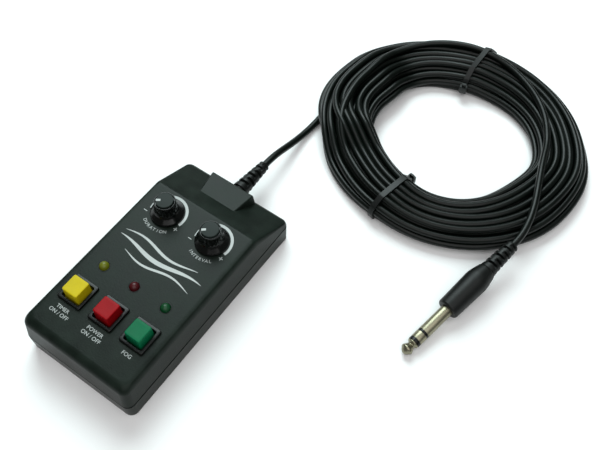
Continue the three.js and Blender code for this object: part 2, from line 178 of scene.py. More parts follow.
def make_materials():
    made = {}

    def put(slot, colour, roughness, grain, height, spread=0.0, rough_spread=0.0, **sockets):
        material = new_material(slot, colour, roughness, **sockets)
        made[slot] = add_grain(material, grain * MM, height * MM, spread, rough_spread)

    put(
        "case_plastic", (0.0075, 0.0122, 0.0092), 0.36, 0.7, 0.05, 0.3, 0.08, Specular_IOR_Level=0.1,
    )
    put(
        "bezel_plastic", (0.0015, 0.002, 0.0018), 0.32, 0.8, 0.006, 0.1, 0.06, Specular_IOR_Level=0.25,
    )
    put(
        "knob_plastic", (0.0015, 0.0022, 0.0018), 0.18, 2.0, 0.004, 0.1, 0.05, Specular_IOR_Level=0.35,
    )
    put(
        "knob_cap_plastic", (0.012, 0.018, 0.016), 0.5, 0.35, 0.012, 0.1, 0.06, Specular_IOR_Level=0.15,
    )
    put("yellow_plastic", (0.5, 0.4, 0.003), 0.45, 0.6, 0.006, 0.06, 0.05, Specular_IOR_Level=0.15)
    put("red_plastic", (0.25, 0.001, 0.004), 0.45, 0.6, 0.006, 0.08, 0.05, Specular_IOR_Level=0.12)
    put(
        "green_plastic", (0.001, 0.12, 0.048), 0.45, 0.6, 0.006, 0.08, 0.05, Specular_IOR_Level=0.12,
    )
    lens = {"Specular_IOR_Level": 0.3, "Coat_Weight": 0.05}
    put("yellow_lens", (0.11, 0.125, 0.004), 0.4, 1.5, 0.003, 0.1, 0.03, **lens)
    put("red_lens", (0.05, 0.002, 0.004), 0.4, 1.5, 0.003, 0.1, 0.03, **lens)
    put("green_lens", (0.002, 0.05, 0.014), 0.4, 1.5, 0.003, 0.1, 0.03, **lens)
    put("white_ink", (0.42, 0.45, 0.44), 0.6, 0.4, 0.004, 0.08, 0.05)
    put("nickel_plate", (0.25, 0.235, 0.165), 0.36, 1.2, 0.004, 0.12, 0.07, Metallic=1)
    put("zinc_steel", (0.45, 0.45, 0.44), 0.35, 0.5, 0.006, 0.1, 0.08, Metallic=1)
    put("brass", (0.6, 0.45, 0.2), 0.3, 0.5, 0.006, 0.1, 0.08, Metallic=1)
    put("cord_pvc", (0.0013, 0.003, 0.002), 0.34, 1.1, 0.02, 0.2, 0.1, Specular_IOR_Level=0.22)
    put("tie_nylon", (0.003, 0.0045, 0.004), 0.4, 0.7, 0.01, 0.15, 0.06, Specular_IOR_Level=0.3)
    put(
        "moulded_rubber", (0.002, 0.003, 0.0025), 0.45, 0.5, 0.02, 0.2, 0.08, Specular_IOR_Level=0.25,
    )
    put("board_laminate", (0.02, 0.16, 0.07), 0.4, 1.0, 0.01, 0.1, 0.08)
    put("component_black", (0.02, 0.02, 0.022), 0.5, 0.4, 0.01, 0.1, 0.08)
    put("header_plastic", (0.7, 0.69, 0.64), 0.45, 0.6, 0.008, 0.05, 0.06)
    return made


MATERIALS = make_materials()
SLOTS = {row["node"]: row["material_slot"] for row in frame["record"]["subparts"]}
for node, cad in frame["nodes"].items():
    cad.data.materials.clear()
    cad.data.materials.append(MATERIALS[SLOTS[node]])


# ---- mesh tools --------------------------------------------------------------------------------
def make_object(name, vertices, faces, sharp=40):
    mesh = bpy.data.meshes.new(name)
    mesh.from_pydata([tuple(v) for v in vertices], [], faces)
    obj = bpy.data.objects.new(name, mesh)
    bpy.context.scene.collection.objects.link(obj)
    return tidy(obj, sharp)


def tidy(obj, sharp=40):
    """Merges doubles, points the faces outwards and shades smooth below the sharp angle."""
    bm = bmesh.new()
    bm.from_mesh(obj.data)
    bmesh.ops.remove_doubles(bm, verts=bm.verts, dist=1e-7)
    bmesh.ops.recalc_face_normals(bm, faces=bm.faces)
    bm.to_mesh(obj.data)
    bm.free()
    obj.data.shade_smooth()
    obj.data.set_sharp_from_angle(angle=math.radians(sharp))
    return obj


def settle(obj, slot, body="root", nodes=()):
    """Gives a piece its material and its body, and hides the CAD nodes that it stands for."""
    obj.data.materials.clear()
    obj.data.materials.append(MATERIALS[slot])
    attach(obj, body)
    if nodes:
        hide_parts(*nodes)
    return obj


def baked(obj):
    """Turns an object's modifiers or its text into its plain mesh."""
    graph = bpy.context.evaluated_depsgraph_get()
    mesh = bpy.data.meshes.new_from_object(obj.evaluated_get(graph))
    name, place = obj.name, obj.matrix_world.copy()
    bpy.data.objects.remove(obj)
    made = bpy.data.objects.new(name, mesh)
    made.matrix_world = place
    bpy.context.scene.collection.objects.link(made)
    return made


def combine(obj, others, operation):
    """Joins other closed solids to an object, or cuts them from it, and uses them up."""
    for other in others:
        cut = obj.modifiers.new("cut", "BOOLEAN")
        cut.object = other
        cut.operation = operation
        cut.solver = "EXACT"
    name = obj.name
    obj = baked(obj)
    for other in others:
        bpy.data.objects.remove(other)
    obj.name = name
    return obj


def turned(name, points, place=Matrix(), sides=64, wave=None, sharp=40):
    """Turns a profile of (radius, height) about Z; `wave` changes the radius round the turn."""
    vertices, rings = [], []
    for k, (radius, height) in enumerate(points):
        if radius < 1e-9:
            rings.append([len(vertices)] * sides)
            vertices.append(place @ Vector((0, 0, height)))
            continue
        rings.append(range(len(vertices), len(vertices) + sides))
        for i in range(sides):
            a = 2 * math.pi * i / sides
            r = radius * (wave(k, a) if wave else 1)
            vertices.append(place @ Vector((r * math.cos(a), r * math.sin(a), height)))
    faces = []
    for below, above in zip(rings, rings[1:]):
        for i in range(sides):
            j = (i + 1) % sides
            face = list(dict.fromkeys((below[i], below[j], above[j], above[i])))
            if len(face) > 2:
                faces.append(face)
    return make_object(name, vertices, faces, sharp)


def scaled(points):
    return [(r * MM, z * MM) for r, z in points]


def rounded(points, radius, steps=4):
    """Rounds the inner corners of an open profile."""
    made = [points[0]]
    for a, b, c in zip(points, points[1:], points[2:]):
        a, b, c = Vector(a), Vector(b), Vector(c)
        reach = min(radius, (a - b).length * 0.45, (c - b).length * 0.45)
        start, end = b + (a - b).normalized() * reach, b + (c - b).normalized() * reach
        for i in range(steps + 1):
            t = i / steps
            made.append(tuple(start * (1 - t) ** 2 + b * 2 * t * (1 - t) + end * t**2))
    return made + [points[-1]]


def outline(width, depth, radius, steps=6):
    """A rounded rectangle about the origin, anticlockwise."""
    points = []
    for quarter, (sx, sy) in enumerate(((1, -1), (1, 1), (-1, 1), (-1, -1))):
        cx, cy = sx * (width / 2 - radius), sy * (depth / 2 - radius)
        for i in range(steps + 1):
            a = math.pi / 2 * (quarter - 1 + i / steps)
            points.append((cx + radius * math.cos(a), cy + radius * math.sin(a)))
    return points


def stacked(name, layers, at=(0, 0), sharp=40):
    """A closed solid through a stack of rounded rectangles: (width, depth, radius, height)."""
    vertices, faces = [], []
    for width, depth, radius, height in layers:
        for x, y in outline(width, depth, max(radius, 0.01 * MM)):
            vertices.append((x + at[0], y + at[1], height))
    count = len(vertices) // len(layers)
    for k in range(len(layers) - 1):
        for i in range(count):
            j = (i + 1) % count
            faces.append((k * count + i, k * count + j, (k + 1) * count + j, (k + 1) * count + i))
    faces.append(tuple(reversed(range(count))))
    faces.append(tuple(range(len(vertices) - count, len(vertices))))
    return make_object(name, vertices, faces, sharp)


def block(low, high):
    size = [(high[i] - low[i]) for i in range(3)]
    at = ((low[0] + high[0]) / 2, (low[1] + high[1]) / 2)
    layer = (size[0], size[1], 0)
    return stacked("block", [(*layer, low[2]), (*layer, high[2])], at)


def post(radius, low, high, x=0.0, y=0.0, sides=48):
    place = Matrix.Translation((x, y, 0))
    return turned("post", [(0, low), (radius, low), (radius, high), (0, high)], place, sides)


# ---- cord --------------------------------------------------------------------------------------
def slot_places():
    """The turns' places across the bundle, in the order of winding: up, and to and fro."""
    places = []
    for row, count in enumerate(ROWS):
        across = [(i - (count - 1) / 2) * STRAND_PITCH for i in range(count)]
        if row % 2 == 0:
            across.reverse()
        places += [(offset, CORD_R + row * ROW_PITCH) for offset in across]
    return places


PLACES = slot_places()
TOP_PLACE = CORD_R + (len(ROWS) - 1) * ROW_PITCH
CROSS_START, CROSS_END = -130, -170  # degrees: where each turn moves over by one place
JOIN_ANGLE = 180
LEAD_R = 71.5 * MM  # where the lead passes the angle of the join, on the floor
# the last turn's route over the top: (degrees round the coil, mm outwards from its middle)
LAST_TURN = (
    (280, 4.5), (250, 4), (215, 1), (180, 0), (150, 3), (118, 7.5),
    (95, 5), (70, -1), (45, -6.5), (25, -9.5), (0, -11),
)


def smooth(t):
    t = max(0.0, min(1.0, t))
    return t * t * (3 - 2 * t)


def near(angle, centre, width):
    """A soft bump of one about an angle in degrees."""
    away = (angle - centre + 180) % 360 - 180
    return math.exp(-((away / width) ** 2))


def bundle_lift(angle):
    """How far the bundle is raised: by the lead that runs in under it, and by its ties."""
    turn = angle % 360
    over_lead = 3.7 * MM * smooth((228 - turn) / 20) * smooth((turn - 148) / 20)
    over_tie = max(near(angle, tie, 14) for tie in TIE_ANGLES) * (TIE_T + 0.25 * MM)
    return max(over_lead, over_tie)


def stray(angle):
    """How far the hand-wound bundle strays outwards from its circle."""
    a = math.radians(angle)
    kinks = 1.6 * near(angle, 15, 14) - 3.2 * near(angle, 170, 15)
    kinks = kinks - 1.2 * near(angle, 108, 18) + 0.9 * near(angle, 204, 12)
    return MM * (
        -0.2 - 1.5 * math.cos(a) + 1.8 * math.sin(a) + 3.3 * math.cos(2 * a)
        - 0.9 * math.cos(3 * a) + 0.8 * math.sin(3 * a) + kinks
    )


def spread(angle):
    """How loosely the strands lie side by side."""
    loose = 0.87 + 0.27 * near(angle, 174, 36)
    return loose + 0.18 * near(angle, 343, 28) + 0.07 * near(angle, 240, 30)


def sweep(angle):
    """How far the upper rows lie over to the outside."""
    return (2.8 * near(angle, 105, 45) - 3.5 * near(angle, 228, 32)) * MM


def coil_point(offset, height, angle, strand=0.0, lift=1.0):
    a = math.radians(angle)
    own = 0.3 * math.sin(2 * a + 2.4 * strand) + 0.18 * math.sin(5 * a + 4.1 * strand)
    up = (height - CORD_R) / (TOP_PLACE - CORD_R)
    aside = sweep(angle)
    r = COIL_R + stray(angle) + offset * spread(angle) + aside * (1.2 * up - 0.2) + own * MM
    ridge = math.sin(math.pi * 0.5 * aside / STRAND_PITCH) ** 2 * 0.35 * MM * up * 3
    z = height + ridge + lift * bundle_lift(angle)
    return Vector((COIL.x + r * math.cos(a), COIL.y + r * math.sin(a), z))


def last_turn_point(angle):
    """The last turn wanders across the top from the outside to the inside."""
    k = next(i for i in range(1, len(LAST_TURN) - 2) if angle >= LAST_TURN[i + 1][0] - 1e-6)
    (a0, x0), (a1, x1), (a2, x2), (a3, x3) = LAST_TURN[k - 1 : k + 3]
    span, t = a2 - a1, (angle - a1) / (a2 - a1)
    into, out = (x2 - x0) / (a2 - a0) * span, (x3 - x1) / (a3 - a1) * span
    offset = (2 * t**3 - 3 * t**2 + 1) * x1 + (t**3 - 2 * t**2 + t) * into
    offset = (offset + (3 * t**2 - 2 * t**3) * x2 + (t**3 - t**2) * out) * MM
    height = TOP_PLACE + 3.45 * MM - 0.9 * MM * smooth((48 - angle) / 30)
    point = coil_point(0, TOP_PLACE, angle)
    a = math.radians(angle)
    r = COIL_R + stray(angle) + offset + 0.35 * sweep(angle)
    lifted = point.z - TOP_PLACE + height
    return Vector((COIL.x + r * math.cos(a), COIL.y + r * math.sin(a), lifted))


def coil_points(per_turn=72):
    """The turns, clockwise from above. In the crossing all of them move over by one place."""
    step = 360 / per_turn
    points = []
    for turn, here in enumerate(PLACES):
        after = PLACES[turn + 1] if turn + 1 < len(PLACES) else None
        for i in range(per_turn):
            angle = JOIN_ANGLE - i * step
            t = smooth((CROSS_START - angle) / (CROSS_START - CROSS_END))
            place = coil_point(*here, angle, turn + t)
            if after:
                ride_over = 4 * t * (1 - t) * 0.62 * MM * (here[1] - CORD_R) / ROW_PITCH
                offset = here[0] + (after[0] - here[0]) * t
                height = here[1] + (after[1] - here[1]) * t + ride_over
                place = coil_point(offset, height, angle, turn + t)
            elif t:
                place = place.lerp(last_turn_point(angle + 360), t)
            if turn == 0 and angle > 130:
                # the first turn is the lead itself, under the raised bundle
                low = coil_point(*here, angle, 0, lift=0)
                start = COIL + (low - COIL).normalized() * LEAD_R
                start.z = CORD_R
                place = start.lerp(low, smooth((JOIN_ANGLE - angle) / 34))
            points.append(place)
    return points


def along_boot(s):
    return ENTRY + Vector((0, math.cos(DROOP), -math.sin(DROOP))) * s * MM


def cord_route():
    points = [along_boot(s) for s in (-8.5, -2, 5, 12, 19, 24)]
    lead = (
        (0.9, 92, 11.6),
        (1.0, 101, 8.2),
        (1.2, 111, 4.7),
        (1.4, 121, 2.5),
        (1.6, 130, 1.95),
        (1.6, 140, 1.92),
        (1.1, 150, 1.9),
    )
    points += [Vector(p) * MM for p in lead]
    points += coil_points()
    points += [last_turn_point(angle) for angle in range(180, 26, -5)]
    tail = (
        (117.8, 180.5, 14.7),
        (119.8, 173, 15.5),
        (122.2, 165, 16.1),
        (125.4, 155.5, 16.2),
        (129.0, 145.5, 15.9),
        (131.7, 136, 15.5),
        (133.0, 127.5, 14.9),
        (133.1, 121, 13.9),
    )
    points += [Vector(p) * MM for p in tail]
    axis = (PLUG_TIP - PLUG_END).normalized()
    points += [PLUG_END + axis * s * MM for s in (0, 6, 12, 18, 24, 30)]
    return points


def make_cord():
    curve = bpy.data.curves.new("cord", "CURVE")
    curve.dimensions = "3D"
    curve.bevel_depth = CORD_R
    curve.bevel_resolution = 4
    curve.use_fill_caps = True
    route = cord_route()
    line = curve.splines.new("NURBS")
    line.points.add(len(route) - 1)
    for point, place in zip(line.points, route):
        point.co = (*place, 1)
    line.order_u = 4
    line.use_endpoint_u = True
    line.resolution_u = 2
    cord = bpy.data.objects.new("cord", curve)
    bpy.context.scene.collection.objects.link(cord)
    cord.data.materials.append(MATERIALS["cord_pvc"])
    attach(cord, "root")
    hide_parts("cord_lead", "cord_coil", "cord_tail")
    length = sum((b - a).length for a, b in zip(route, route[1:]))
    return cord, length


cord, CORD_LENGTH = make_cord()


# ---- case --------------------------------------------------------------------------------------
def roof(y):
    """Height of the panel and of the slope behind it, with the ridge softened."""
    t = (y - RIDGE_Y) / RIDGE_SOFT
    fall = RIDGE_SOFT * (t if t > 30 else math.log1p(math.exp(t)))
    return PANEL_Z - SLOPE * fall


def room(y):
    """How high the roof stands over the parting line, as a share of the panel's height."""
    low = PARTING_Z + 0.4 * MM
    return (roof(y) - low) / (PANEL_Z - low)


def half_outline(inset_x, inset_front, inset_rear, inset=0.0):
    """Right half of the case's plan, front to rear. Insets keep the count of points."""
    front = max(CORNER_R - inset, 1.2 * MM)
    rear = max(REAR_CORNER_R - inset, 1.0 * MM)
    w, l = HALF_W - inset, HALF_L - inset
    points = [(x * (w - front) / 6, -l) for x in range(6)]
    arc = 10
    for i in range(arc + 1):
        a = math.pi / 2 * (i / arc - 1)
        points.append((w - front + front * math.cos(a), front - l + front * math.sin(a)))
    straight = [-52, -46, -40, -20, 0, 15, 25, 30, 33, 34, 34.6]
    straight += [35 + 0.2 * i for i in range(1, 10)] + [37.2, 38, 40, 44, 47, 50, 53]
    points += [(w, y * MM) for y in straight]
    for i in range(arc + 1):
        a = math.pi / 2 * i / arc
        points.append((w - rear + rear * math.cos(a), l - rear + rear * math.sin(a)))
    points += [(x * (w - rear) / 6, l) for x in reversed(range(6))]
    made = []
    for x, y in points:
        inset_y = inset_front if y < 0 else inset_rear
        aside = inset_x * (0.45 + 0.55 * room(y)) if y > 0 else inset_x
        made.append((x * (w - aside) / w, y * (l - inset_y) / l))
    return made


def loft_case(name, rings):
    """A closed solid through rings: insets at the side, front and rear, a height and a wall."""
    vertices, faces = [], []
    for inset_x, inset_front, inset_rear, height, inset in rings:
        half = half_outline(inset_x, inset_front, inset_rear, inset)
        ring = half + [(-x, y) for x, y in reversed(half[1:-1])]
        vertices += [(x, y, height(y)) for x, y in ring]
    count = len(vertices) // len(rings)
    for k in range(len(rings) - 1):
        for i in range(count):
            j = (i + 1) % count
            faces.append((k * count + i, k * count + j, (k + 1) * count + j, (k + 1) * count + i))
    top = (len(rings) - 1) * count
    mid = count // 2
    for base in (0, top):
        for i in range(mid):
            across, across_next = base + (count - i) % count, base + count - i - 1
            face = (base + i, base + i + 1, across_next, across)
            faces.append(list(dict.fromkeys(face)))
    return make_object(name, vertices, faces, 30)


def flat(z):
    return lambda y: z


def shoulder(drop):
    """Height of a ring that lies `drop` below the roof, less where the roof is low."""
    return lambda y: roof(y) - drop * room(y)


def rim(y):
    """Height of the crease round the panel: a hair below the panel at its sides."""
    return roof(y) - 0.22 * MM * smooth((y / MM + 56) / 5)


def case_rings(low, inset):
    rings = [
        (0.12 * MM, 0.12 * MM, 0.12 * MM, flat(low), inset),
        (0, 0, 0, flat(low + 0.12 * MM), inset),
    ]
    widest = math.radians(58)
    for i in range(8):
        t = widest * i / 7
        out = (1 - math.cos(t)) / (1 - math.cos(widest))
        in_x, in_front, in_rear = 0.75 + 1.75 * out, 1.3 + 3.7 * out, 0.3 + 0.9 * out
        drop = EDGE_DROP * (1 - math.sin(t) / math.sin(widest))
        height = shoulder(drop) if i < 7 else rim
        rings.append((in_x * MM, in_front * MM, in_rear * MM, height, inset))
    rings.append((4.4 * MM, 5.9 * MM, 1.5 * MM, roof, inset))
    return rings


def crisp(obj):
    """Keeps flat faces flat where they meet soft edges."""
    name = obj.name
    weighted = obj.modifiers.new("normals", "WEIGHTED_NORMAL")
    weighted.keep_sharp = True
    obj = baked(obj)
    obj.name = name
    return obj


CASE_SCREWS = ((-26.5, -52.5), (26.5, -52.5), (-26.5, 51), (26.5, 51))


def cable_block():
    """The raised block over the cord's gland, wider at its rear and foot, with soft edges."""
    corners = []
    for sx in (-1, 1):
        for z, flare in ((21, 0), (12.7, 1)):
            corners.append((-1.4 + sx * (11.2 + 0.3 * flare), 45.2 - 2 * flare, z))
            corners.append((-1.4 + sx * (13.2 + flare), 59.2 + 0.4 * flare, z))
    bm = bmesh.new()
    for corner in corners:
        bm.verts.new(Vector(corner) * MM)
    bmesh.ops.convex_hull(bm, input=bm.verts)
    bmesh.ops.dissolve_limit(bm, angle_limit=0.02, verts=bm.verts, edges=bm.edges)
    bmesh.ops.bevel(bm, geom=bm.edges, offset=0.7 * MM, segments=3, profile=0.5, affect="EDGES")
    mesh = bpy.data.meshes.new("cable_block")
    bm.to_mesh(mesh)
    bm.free()
    obj = bpy.data.objects.new("cable_block", mesh)
    bpy.context.scene.collection.objects.link(obj)
    return obj


def entry_hole():
    place = Matrix.Translation(ENTRY) @ Matrix.Rotation(-math.pi / 2, 4, "X")
    r, reach = 3.9 * MM, 20 * MM
    return turned("hole", [(0, -reach), (r, -reach), (r, reach), (0, reach)], place, 48)


def make_top_shell():
    low = PARTING_Z + HALF_GROOVE
    shell = loft_case("top_shell_skin", case_rings(low, 0))
    shell = combine(shell, [cable_block()], "UNION")

    def under_roof(y):
        return min(roof(y) - 5 * MM, roof(y) * 0.5 + 5 * MM)

    inner = [
        (0, 0, 0, flat(low - 1 * MM), WALL),
        (0.3 * MM, 0.3 * MM, 0.3 * MM, flat(low + 0.1 * MM), WALL),
        (1.2 * MM, 1.5 * MM, 0.4 * MM, under_roof, WALL),
        (2.6 * MM, 4.6 * MM, 1.2 * MM, lambda y: roof(y) - WALL, WALL),
    ]
    cuts = [loft_case("hollow", inner), entry_hole()]
    cuts.append(block(Vector((-10.9, 46, 10)) * MM, Vector((8.1, 57.4, 19.6)) * MM))
    for name, (x, y) in BUTTONS.items():
        layer = (12.4 * MM, 12.7 * MM, 0.8 * MM)
        cuts.append(stacked("hole", [(*layer, 20 * MM), (*layer, 30 * MM)], (x, y)))
        cuts.append(post(3.0 * MM, 20 * MM, 30 * MM, *LAMPS[name]))
    for x, y in KNOBS.values():
        cuts.append(post(3.8 * MM, 20 * MM, 30 * MM, x, y))
    shell = combine(shell, cuts, "DIFFERENCE")
    return settle(crisp(tidy(shell, 32)), "case_plastic", nodes=["top_shell"])


def make_bottom_shell():
    high = PARTING_Z - HALF_GROOVE
    profile = ((0.75, 0), (0.45, 0.12 * MM), (0.3, 0.5 * MM), (0, high - 0.12 * MM), (0.12, high))
    rings = [(q * MM, q * MM, q * MM, flat(z), 0) for q, z in profile]
    shell = loft_case("bottom_shell_skin", rings)
    foot = 0.4 * MM
    hollow = [(foot, foot, foot, flat(WALL), WALL), (0, 0, 0, flat(high + 1 * MM), WALL)]
    shell = combine(shell, [loft_case("hollow", hollow)], "DIFFERENCE")
    posts = [post(4 * MM, 1 * MM, 9 * MM, x * MM, y * MM) for x, y in CASE_SCREWS]
    shell = combine(shell, posts, "UNION")
    cuts = [entry_hole()]
    for x, y in CASE_SCREWS:
        cuts.append(post(3.1 * MM, -1 * MM, 3.1 * MM, x * MM, y * MM))
        cuts.append(post(1.7 * MM, 2 * MM, 12 * MM, x * MM, y * MM, 32))
    shell = combine(shell, cuts, "DIFFERENCE")
    return settle(crisp(tidy(shell, 32)), "case_plastic", nodes=["bottom_shell"])


make_top_shell()
make_bottom_shell()


# ---- buttons, bezels and lamps -----------------------------------------------------------------
def make_button(name, colour):
    at = BUTTONS[name]
    low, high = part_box(f"{name}_button")
    top = high[2]
    w, d = 9.1 * MM, 9.2 * MM
    layers = [(3.4 * MM, 3.4 * MM, 0.2 * MM, low[2]), (3.4 * MM, 3.4 * MM, 0.2 * MM, 21.4 * MM)]
    flange = (11.4 * MM, 11.7 * MM, 0.8 * MM)
    layers += [(*flange, 21.4 * MM), (*flange, 22.9 * MM)]
    layers += [(w, d, 0.9 * MM, 22.9 * MM)]
    edge = 0.5 * MM
    for i in range(7):
        t = math.pi / 2 * i / 6
        inset = 0.06 * MM + edge * (1 - math.cos(t))
        z = top - edge * (1 - math.sin(t))
        layers.append((w - 2 * inset, d - 2 * inset, 0.9 * MM - 0.3 * inset, z))
    dish = 0.07 * MM
    layers.append((w - 3.4 * MM, d - 3.4 * MM, 0.6 * MM, top - dish * 0.6))
    layers.append((w - 6.4 * MM, d - 6.4 * MM, 0.5 * MM, top - dish))
    cap = stacked(f"{name}_button_cap", layers, at, 35)
    settle(cap, f"{colour}_plastic", BODIES[name], [f"{name}_button"])


def ring_stack(name, outer, inner, at, sharp=40):
    """A closed ring between two stacks of rounded rectangles."""
    layers = [*outer, *inner, outer[0]]
    vertices, faces = [], []
    for width, depth, radius, height in layers:
        for x, y in outline(width, depth, max(radius, 0.01 * MM)):
            vertices.append((x + at[0], y + at[1], height))
    count = len(vertices) // len(layers)
    for k in range(len(layers) - 1):
        for i in range(count):
            j = (i + 1) % count
            faces.append((k * count + i, k * count + j, (k + 1) * count + j, (k + 1) * count + i))
    return make_object(name, vertices, faces, sharp)


def make_bezel(name):
    w, d = 13.9, 14.2
    rim, top = PANEL_Z / MM + 0.02, PANEL_Z / MM + 1.4
    outer = [(11.8, 12.1, 0.6, 23.2), (11.8, 12.1, 0.6, rim)]
    outer += [(w, d, 1.0, rim), (w, d, 1.0, top - 0.45)]
    for i in range(1, 5):
        t = math.pi / 2 * i / 4
        inset = 0.45 * (1 - math.cos(t))
        z = top - 0.45 * (1 - math.sin(t))
        outer.append((w - 2 * inset, d - 2 * inset, 1.0 - inset * 0.5, z))
    inner = [(11.1, 11.4, 1.1, top), (10.7, 11.0, 1.0, top - 0.3), (10.6, 10.9, 1.0, 23.2)]
    outer = [tuple(v * MM for v in row) for row in outer]
    inner = [tuple(v * MM for v in row) for row in inner]
    bezel = ring_stack(f"{name}_bezel_frame", outer, inner, BUTTONS[name], 35)
    settle(bezel, "bezel_plastic", nodes=[f"{name}_bezel"])


def make_lamp(name, colour):
    place = Matrix.Translation((*LAMPS[name], 0))
    profile = [(0, 21), (2.9, 21), (2.9, 21.8), (2.5, 21.8), (2.5, 25.9)]
    for i in range(1, 10):
        a = math.pi / 18 * i
        profile.append((2.5 * math.cos(a) if i < 9 else 0, 25.9 + 2.5 * math.sin(a)))
    dome = turned(f"{name}_lamp_dome", scaled(profile), place, 40)
    x, y = LAMPS[name]
    half = 0.3 * MM
    leads = []
    for side in (-1, 1):
        cx = x + side * 1.27 * MM
        leads.append(block((cx - half, y - half, 12.1 * MM), (cx + half, y + half, 21.4 * MM)))
    dome = combine(dome, leads, "UNION")
    settle(tidy(dome), f"{colour}_lens", nodes=[f"{name}_led"])
    top = PANEL_Z / MM + 0.05
    ring = [(2.65, 22.1), (4.2, 22.1), (4.2, 23.7), (2.92, 23.7)]
    ring += [(2.92, top), (2.65, top), (2.65, 22.1)]
    holder = turned(f"{name}_lamp_ring", scaled(rounded(ring, 0.08)), place, 48)
    settle(holder, "bezel_plastic", nodes=[f"{name}_led_holder"])


for function, colour in (("timer", "yellow"), ("power", "red"), ("fog", "green")):
    make_button(function, colour)
    make_bezel(function)
    make_lamp(function, colour)


# ---- knobs -------------------------------------------------------------------------------------
FLUTES = 20
POINTERS = {"duration": 214, "interval": 221}  # degrees, at rest


def make_knob(name):
    x, y = KNOBS[name]
    place = Matrix.Translation((x, y, 0))
    body = BODIES[name]
    outside = [(0, 34.9), (3.3, 34.9), (3.3, 29), (6.2, 29), (6.2, 26.5), (8.5, 26.5)]
    outside += [(8.6, 26.6), (8.6, 27.3), (8.3, 27.7), (6.35, 29.7), (5.95, 30.4)]
    outside = rounded(outside, 0.3, 3)
    grip = [(5.72 - 0.34 * i / 10, 30.7 + 0.56 * i) for i in range(11)]
    top = rounded([(5.36, 36.4), (5.15, 36.8), (4.8, 36.8), (4.8, 35.6), (0, 35.6)], 0.15, 3)
    profile = scaled(outside + grip + top)
    start, end = len(outside), len(outside) + len(grip)

    def flute(k, angle):
        if not start <= k < end:
            return 1
        ends = min(1, (k - start) / 2, (end - 1 - k) / 1.5)
        groove = max(0.0, math.cos(FLUTES * angle)) ** 0.8
        return 1 - 0.075 * ends * groove

    knob = turned(f"{name}_knob_body", profile, place, 240, flute, 50)
    settle(knob, "knob_plastic", body, [f"{name}_knob"])
    cap_profile = rounded([(0, 35.9), (4.35, 35.9), (4.35, 37.6), (0, 37.6)], 0.3, 5)
    cap = turned(f"{name}_knob_disc", scaled(cap_profile), place, 64)
    settle(cap, "knob_cap_plastic", body, [f"{name}_knob_cap"])
    mark = block(Vector((1.9, -0.6, 37.4)) * MM, Vector((4.15, 0.6, 37.66)) * MM)
    mark.name = f"{name}_pointer"
    mark.data.transform(place @ Matrix.Rotation(math.radians(POINTERS[name]), 4, "Z"))
    settle(mark, "white_ink", body)


for control in KNOBS:
    make_knob(control)


# ---- printing ----------------------------------------------------------------------------------
INK_Z = PANEL_Z + 0.012 * MM
INK_T = 0.03 * MM


def lettering(text, size, at, turn=0.0):
    """Plain printed letters, centred, lying on the panel. Returns them as a mesh object."""
    font = bpy.data.curves.new("letters", "FONT")
    font.body = text
    font.size = size
    font.align_x = "CENTER"
    font.align_y = "CENTER"
    font.extrude = INK_T / 2
    font.resolution_u = 3
    obj = bpy.data.objects.new("letters", font)
    bpy.context.scene.collection.objects.link(obj)
    obj.matrix_world = Matrix.Translation((*at, INK_Z)) @ Matrix.Rotation(turn, 4, "Z")
    bpy.context.view_layer.update()
    return baked(obj)


def join(name, objects):
    bm = bmesh.new()
    for obj in objects:
        obj.data.transform(obj.matrix_world)
        bm.from_mesh(obj.data)
        bpy.data.objects.remove(obj)
    mesh = bpy.data.meshes.new(name)
    bm.to_mesh(mesh)
    bm.free()
    made = bpy.data.objects.new(name, mesh)
    bpy.context.scene.collection.objects.link(made)
    return made


def ink(name, pieces):
    settle(tidy(join(name, pieces), 30), "white_ink")


def ribbon(points, widths):
    """A flat printed line of changing width through points in the panel's plane."""
    vertices, faces = [], []
    for i, (point, width) in enumerate(zip(points, widths)):
        before, after = points[max(i - 1, 0)], points[min(i + 1, len(points) - 1)]
        along = (Vector(after) - Vector(before)).normalized()
        side = Vector((-along.y, along.x)) * width / 2
        for sign, z in ((-1, 0), (1, 0), (1, INK_T), (-1, INK_T)):
            edge = Vector(point) + side * sign
            vertices.append((edge.x, edge.y, INK_Z - INK_T / 2 + z))
    for i in range(len(points) - 1):
        for k in range(4):
            a, b = 4 * i + k, 4 * i + (k + 1) % 4
            faces.append((a, b, b + 4, a + 4))
    last = 4 * (len(points) - 1)
    faces += [(3, 2, 1, 0), (last, last + 1, last + 2, last + 3)]
    return make_object("line", vertices, faces, 30)


def print_dial(name):
    centre = Vector((-14.3 if name == "duration" else 14.0, 24.0)) * MM
    steps = 60
    start, end = 197.0, -15.5
    points, widths = [], []
    for i in range(steps + 1):
        t = i / steps
        a = math.radians(start + (end - start) * t)
        width = (0.5 + 0.95 * smooth(t / 0.55)) * MM
        r = 8.9 * MM + width / 2
        points.append(centre + Vector((math.cos(a), math.sin(a))) * r)
        widths.append(width)
    pieces = [ribbon(points, widths)]
    for sign, angle, radius in (("minus", 207.5, 11.1), ("plus", -29.5, 10.85)):
        a = math.radians(angle)
        at = centre + Vector((math.cos(a), math.sin(a))) * radius * MM
        reach = 1.05 * MM
        pieces.append(ribbon([at - Vector((reach, 0)), at + Vector((reach, 0))], [0.34 * MM] * 2))
        if sign == "plus":
            up = Vector((0, reach))
            pieces.append(ribbon([at - up, at + up], [0.34 * MM] * 2))
    ink(f"{name}_dial", pieces)
    word = name.upper()
    letters = []
    first, last = (237, 303) if name == "duration" else (242.5, 303)
    for i, letter in enumerate(word):
        angle = first + (last - first) * i / (len(word) - 1)
        a = math.radians(angle)
        at = centre + Vector((math.cos(a), math.sin(a))) * 11.45 * MM
        letters.append(lettering(letter, 2.4 * MM, at, a + math.pi / 2))
    ink(f"{name}_word", letters)


